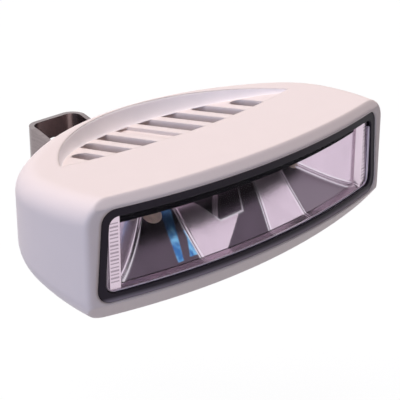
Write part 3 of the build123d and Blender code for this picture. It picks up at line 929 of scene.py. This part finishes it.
    def build(self, plating: bpy.types.Material) -> bpy.types.Object:
        """Make the shell: the front's height field, closed by a back that lies behind it.

        Args:
            plating: The finish.

        Returns:
            The piece, which replaces the plain one.
        """
        foot_low, foot_high = self.foot_heights[:2]
        up = np.append(
            np.linspace(foot_low, foot_high, self.foot_rows)[:-1],
            np.linspace(foot_high, self.ceiling_height, self.rows),
        )
        columns = int((self.end - self.start) * self.density)
        x, height = np.meshgrid(np.linspace(self.start, self.end, columns), up)
        out = abs(x)
        floor, ceiling, wall = self.floor(height), self.ceiling(height), self.wall(out)
        on_floor = (floor < wall) & (floor < ceiling)
        from_crease = np.where(floor < ceiling, (floor - wall) / self.crease_slope, FAR)
        crease = self.pair_of_beads(from_crease) * (out < self.end_panel - self.crease_margin)
        facet = self.pair_of_beads(out - self.facet_edge) * on_floor
        beads = np.clip(crease + facet, 0, 1)
        depth = np.minimum(np.minimum(floor, ceiling), wall) - self.bead * beads
        gap = np.full(columns, self.thickness)
        gap[[0, -1]] = 0.0
        front = self.lamp.behind(x, depth, height)
        back = self.lamp.behind(x, depth + gap, height)
        zones = self.zones(x, height, on_floor, beads)
        piece = surface(
            f"{self.node}_shell",
            np.concatenate([back, front[::-1]]),
            plating,
            (True, False),
            np.concatenate([zones, zones[::-1]]),
        )
        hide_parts(self.node)
        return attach(piece, Body.HEAD.value)


@dataclass
class LightWindow:
    """The small opening at the head of a reflector's floor, behind which its lights are seen.

    A low dome on the floor, rings of radius r between 0 and 1 about its middle:
    depth = floor(height) - proud - dome * cos(r * pi / 2), closed by a back sunk into the floor.
    """

    reflector: Reflector
    middle: float = 33.2
    half_width: float = 3.4
    low: float = -1.0
    high: float = 3.4
    dome: float = 0.5
    proud: float = 0.05
    sunk: float = 0.3
    rings: int = 12
    spokes: int = 48

    def build(self, side: Side, finish: bpy.types.Material) -> bpy.types.Object:
        """Make the dome from its middle outwards, then its back.

        Args:
            side: Left or right.
            finish: Its finish.

        Returns:
            The piece.
        """
        radius = np.append(np.linspace(1 / self.rings, 1, self.rings), 1.0)[:, None]
        angle = np.linspace(0, 2 * np.pi, self.spokes, endpoint=False)
        x = side.value * self.middle + self.half_width * radius * np.cos(angle)
        half_height = (self.high - self.low) / 2
        height = (self.low + self.high) / 2 + half_height * radius * np.sin(angle)
        above = self.proud + self.dome * np.cos(radius * np.pi / 2)
        above[-1] = -self.sunk
        points = self.reflector.lamp.behind(x, self.reflector.floor(height) - above, height)
        piece = surface(f"light_window_{side.name.lower()}", points, finish, (False, True))
        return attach(piece, Body.HEAD.value)


@dataclass
class LensEdgeHighlight:
    """A painted highlight: the pale line along the lens's lower edge and up both its ends, beside
    the seal's lip.

    It is a round bead on the lens, in millimetres. Its radius is radius + swell * share, where the
    share grows from 0 on the lower edge to 1 at twice the corner's radius above it.
    """

    lamp: Lamp
    half_width: float = 61.7
    end_spread: float = 0.25
    low: float = -12.75
    high: float = 9.5
    corner: float = 2.4
    depth: float = 1.6
    radius: float = 0.22
    swell: float = 0.3
    corner_steps: int = 9
    edge_steps: int = 80
    end_steps: int = 40
    spokes: int = 12
    # painted highlight: the bead's pale colour stands in for the glint on the lens's edge
    finish: Moulded = Moulded("lens_edge_highlight", (0.86, 0.75, 0.82), 0.35, grain=0.004)

    def outline(self) -> np.ndarray:
        """X and height along the line: down one end, along the lower edge and up the other end.

        Returns:
            The points, n by 2.
        """
        turn = np.linspace(0, np.pi / 2, self.corner_steps)[1:-1]
        along = np.linspace(0, self.half_width - self.corner, self.edge_steps)
        rise = np.linspace(self.low + self.corner, self.high, self.end_steps)
        climbed = (rise - self.low) / (self.high - self.low)
        edge = [along, np.full_like(along, self.low)]
        bend = [
            self.half_width - self.corner * (1 - np.sin(turn)),
            self.low + self.corner * (1 - np.cos(turn)),
        ]
        end = [self.half_width - self.end_spread * climbed, rise]
        right = np.concatenate([np.stack(run, -1) for run in (edge, bend, end)])
        return np.concatenate([right[:0:-1] * [-1, 1], right])

    def build(self) -> bpy.types.Object:
        """Carry a circle along the line: point + radius * (outward * cos(a) + inward * sin(a)).

        Returns:
            The piece.
        """
        across, height = self.outline().T
        path = self.lamp.behind(across, self.depth, height)
        outward = path - [0.0, self.lamp.bend_y, 0.0]
        outward[:, 2] = 0.0
        outward /= np.linalg.norm(outward, axis=1, keepdims=True)
        ahead = np.gradient(path, axis=0)
        ahead /= np.linalg.norm(ahead, axis=1, keepdims=True)
        inward = np.cross(outward, ahead)
        share = np.clip((height - self.low) / (2 * self.corner), 0, 1)
        radius = (self.radius + self.swell * share)[:, None, None]
        angle = np.linspace(0, 2 * np.pi, self.spokes, endpoint=False)[:, None]
        circle = outward[:, None] * np.cos(angle) + inward[:, None] * np.sin(angle)
        grid = path[:, None] + radius * circle
        piece = surface("lens_edge_highlight", grid, self.finish.build(), (False, True))
        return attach(piece, Body.HEAD.value)


@dataclass
class Optics:
    """The lens, the plated optics behind it and the openings in front of the lights."""

    lamp: Lamp
    clear: ClearWindow = ClearWindow()
    plating: Plated = Plated()
    phosphor: Moulded = Moulded(
        "warm_phosphor", (0.62, 0.50, 0.38), 0.4, cloud=0.35, cloud_size=1.6
    )
    middle_half: float = 11.3
    outer_half: float = 62.0
    left_wall_reach: float = 20.0

    def build(self) -> None:
        """Dress the lens and build the plated optics behind it."""
        Dressing(Body.HEAD, {"lens": self.clear.build()}).dress()
        inner, outer = self.middle_half, self.outer_half
        left = Reflector(self.lamp, "reflector_left", -outer, -inner, self.left_wall_reach)
        divider = Reflector(self.lamp, "reflector_divider", -inner, inner)
        right = Reflector(self.lamp, "reflector_right", inner, outer)
        plating = self.plating.build()
        for shell in (left, divider, right):
            shell.build(plating)
            LOG.info("%s_shell built", shell.node)
        phosphor = self.phosphor.build()
        for side, shell in ((Side.LEFT, left), (Side.RIGHT, right)):
            LightWindow(shell).build(side, phosphor)
            LOG.info("light_window_%s built", side.name.lower())
        LensEdgeHighlight(self.lamp).build()
        LOG.info("lens_edge_highlight built")


@dataclass
class Electronics:
    """The board and all that stands on it, behind the reflectors."""

    mask: Moulded = Moulded("white_solder_mask", (0.74, 0.74, 0.73), 0.5)
    pad: Moulded = Moulded("grey_thermal_pad", (0.17, 0.18, 0.2), 0.8)
    phosphor: Moulded = Moulded("yellow_phosphor", (0.80, 0.55, 0.12), 0.3, coat=0.6)
    coil: Moulded = Moulded("dark_coil", (0.03, 0.025, 0.022), 0.5)
    can: Moulded = Moulded("capacitor_can", (0.5, 0.51, 0.53), 0.3, metallic=1.0)
    chip: Moulded = Moulded("black_chip", (0.01, 0.01, 0.01), 0.45)
    terminal: Moulded = Moulded("green_terminal", (0.01, 0.1, 0.035), 0.4)
    zinc: Moulded = Moulded("zinc_screws", (0.5, 0.5, 0.48), 0.28, metallic=1.0)
    bronze: Moulded = Moulded("bronze_bush", (0.42, 0.24, 0.1), 0.35, metallic=1.0)

    def build(self) -> None:
        """Dress the board, its parts and the bush in the housing's lug."""
        phosphor = self.phosphor.build()
        finishes = {
            "main_board": self.mask.build(),
            "thermal_pad": self.pad.build(),
            "led_group_left": phosphor,
            "led_group_right": phosphor,
            "driver_coil": self.coil.build(),
            "driver_capacitors": self.can.build(),
            "driver_chips": self.chip.build(),
            "supply_terminal": self.terminal.build(),
            "board_screws": self.zinc.build(),
            "pivot_bush": self.bronze.build(),
        }
        Dressing(Body.HEAD, finishes).dress()


@dataclass
class Bracket:
    """The strap and its pivot bolt."""

    strap: Brushed = Brushed(
        "brushed_stainless", (0.285, 0.24, 0.245), 0.24, metallic=1.0, grain=0.006
    )
    bolt: Moulded = Moulded(
        "stainless_fastener", (0.42, 0.39, 0.40), 0.25, metallic=1.0, grain=0.004
    )
    nylon: Moulded = Moulded("nylon_washer", (0.62, 0.6, 0.54), 0.5)

    def build(self) -> None:
        """Dress the strap and its fasteners."""
        bolt = self.bolt.build()
        finishes = {
            "bracket_strap": self.strap.build(),
            "pivot_bolt": bolt,
            "pivot_nut": bolt,
            "pivot_washers": bolt,
            "friction_washers": self.nylon.build(),
        }
        Dressing(Body.BRACKET, finishes).dress()


@dataclass
class Studio:
    """A pale floor, a white background, two soft lamps and the camera.

    The lamps' directions run from the object to the lamp. Angles are in degrees, the camera's
    distances from the window's middle in millimetres, and the floor's size in metres.
    """

    lamp: Lamp
    floor_size: float = 6.0
    floor_color: Color = (0.38, 0.38, 0.40)
    floor_shown: float = 0.85
    floor_white: float = 1.12
    room_color: Color = (0.92, 0.87, 1.0)
    room_light: float = 0.19
    room_white: float = 1.0
    key_from: Vector = (-0.04, 0.29, 0.93)
    key_light: float = 2.46
    key_color: Color = (1.0, 0.925, 0.91)
    fill_from: Vector = (-0.9, -0.16, 0.14)
    fill_light: float = 1.5
    fill_color: Color = (0.56, 0.70, 1.0)
    lamp_spread: float = 44.0
    azimuth: float = -43.6066
    elevation: float = 24.3192
    distance: float = 460.5
    aim_right: float = -22.46
    aim_up: float = 2.446
    focal_length: float = 125.87
    sensor: float = 36.0
    nearest: float = 10.0

    def build(self) -> None:
        """Set up the floor, the room, the lamps and the camera."""
        self.lay_floor()
        self.light_room()
        self.hang_lamp("key", self.key_from, self.key_light, self.key_color)
        self.hang_lamp("fill", self.fill_from, self.fill_light, self.fill_color)
        self.place_camera()
        bpy.context.scene.view_settings.view_transform = "Standard"

    def seen(self, sheet: Sheet) -> Signal:
        """1 for what the camera sees, directly, in a reflection or through something clear.

        Args:
            sheet: The floor's or the room's sheet.

        Returns:
            1 or 0.
        """
        kinds = ("Is Camera Ray", "Is Glossy Ray", "Is Transmission Ray")
        camera, glossy, clear = (sheet.node("ShaderNodeLightPath", {}, {}, kind) for kind in kinds)
        return camera.at_least(glossy).at_least(clear)

    def lowest(self) -> float:
        """The lowest height that the head may reach as it turns on its bolt.

        It is the bolt's middle less the distance from there to the farthest corner of the head.

        Returns:
            The height, in metres.
        """
        bolt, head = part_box("pivot_bolt"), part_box("housing")
        middle = (bolt[0].z + bolt[1].z) / 2
        across = max(abs(bolt[0].y - corner.y) for corner in head)
        up = max(abs(middle - corner.z) for corner in head)
        return middle - math.hypot(across, up)

    def lay_floor(self) -> None:
        """A flat pale sheet under all that the head reaches, mostly white where it is seen."""
        half = self.floor_size / MM / 2
        low = self.lowest() / MM
        left = [[-half, -half, low], [-half, half, low]]
        right = [[half, -half, low], [half, half, low]]
        grid = np.array([left, right])
        sheet, material = Sheet.material("pale_floor")
        pale = sheet.node("ShaderNodeBsdfDiffuse", {}, {"Color": (*self.floor_color, 1.0)})
        glow = {"Color": (*WHITE, 1.0), "Strength": self.floor_white}
        white = sheet.node("ShaderNodeEmission", {}, glow)
        shown = self.seen(sheet) * self.floor_shown
        sheet.finish(sheet.node("ShaderNodeMixShader", {}, {0: shown, 1: pale, 2: white}))
        surface("floor", grid[::-1], material, (False, False))

    def light_room(self) -> None:
        """Even light from all sides, with plain white wherever the room itself is seen."""
        world = bpy.data.worlds.new("room")
        world.use_nodes = True
        bpy.context.scene.world = world
        sheet = Sheet(world.node_tree)
        soft, white = (
            sheet.node("ShaderNodeBackground", {}, {"Color": (*color, 1.0), "Strength": strength})
            for color, strength in ((self.room_color, self.room_light), (WHITE, self.room_white))
        )
        inputs = {0: self.seen(sheet), 1: soft, 2: white}
        sheet.finish(sheet.node("ShaderNodeMixShader", {}, inputs), "ShaderNodeOutputWorld")

    def hang_lamp(self, name: str, towards: Vector, light: float, color: Color) -> None:
        """Add one wide soft lamp.

        Args:
            name: Its name.
            towards: Direction from the object to the lamp.
            light: Its strength.
            color: Its colour.
        """
        data = bpy.data.lights.new(name, "SUN")
        data.energy = light
        data.color = color
        data.angle = math.radians(self.lamp_spread)
        hung = bpy.data.objects.new(name, data)
        x, y, z = towards
        hung.rotation_euler = (math.atan2(math.hypot(x, y), z), 0.0, math.atan2(x, -y))
        bpy.context.scene.collection.objects.link(hung)

    def place_camera(self) -> None:
        """Set the camera on its azimuth and elevation, aimed beside the middle of the window."""
        turn, lift = math.radians(self.azimuth), math.radians(self.elevation)
        level = math.cos(lift)
        back = np.array([math.sin(turn) * level, -math.cos(turn) * level, math.sin(lift)])
        right = np.array([math.cos(turn), math.sin(turn), 0.0])
        up = np.cross(back, right)
        middle = np.array([0.0, self.lamp.face, self.lamp.axis_height])
        spot = middle + right * self.aim_right + up * self.aim_up + back * self.distance
        data = bpy.data.cameras.new("camera")
        data.lens = self.focal_length
        data.sensor_width = self.sensor
        data.clip_start = self.nearest * MM
        camera = bpy.data.objects.new("camera", data)
        camera.location = spot * MM
        camera.rotation_euler = (math.pi / 2 - lift, 0.0, turn)
        bpy.context.scene.collection.objects.link(camera)
        bpy.context.scene.camera = camera


def main() -> None:
    """Build the lamp's looks, then the studio."""
    logging.basicConfig(level=logging.INFO, format="%(message)s")
    lamp = Lamp()
    for unit in (Housing(lamp), Optics(lamp), Electronics(), Bracket(), Studio(lamp)):
        unit.build()
        LOG.info("%s ready", type(unit).__name__)


if __name__ == "__main__":
    main()
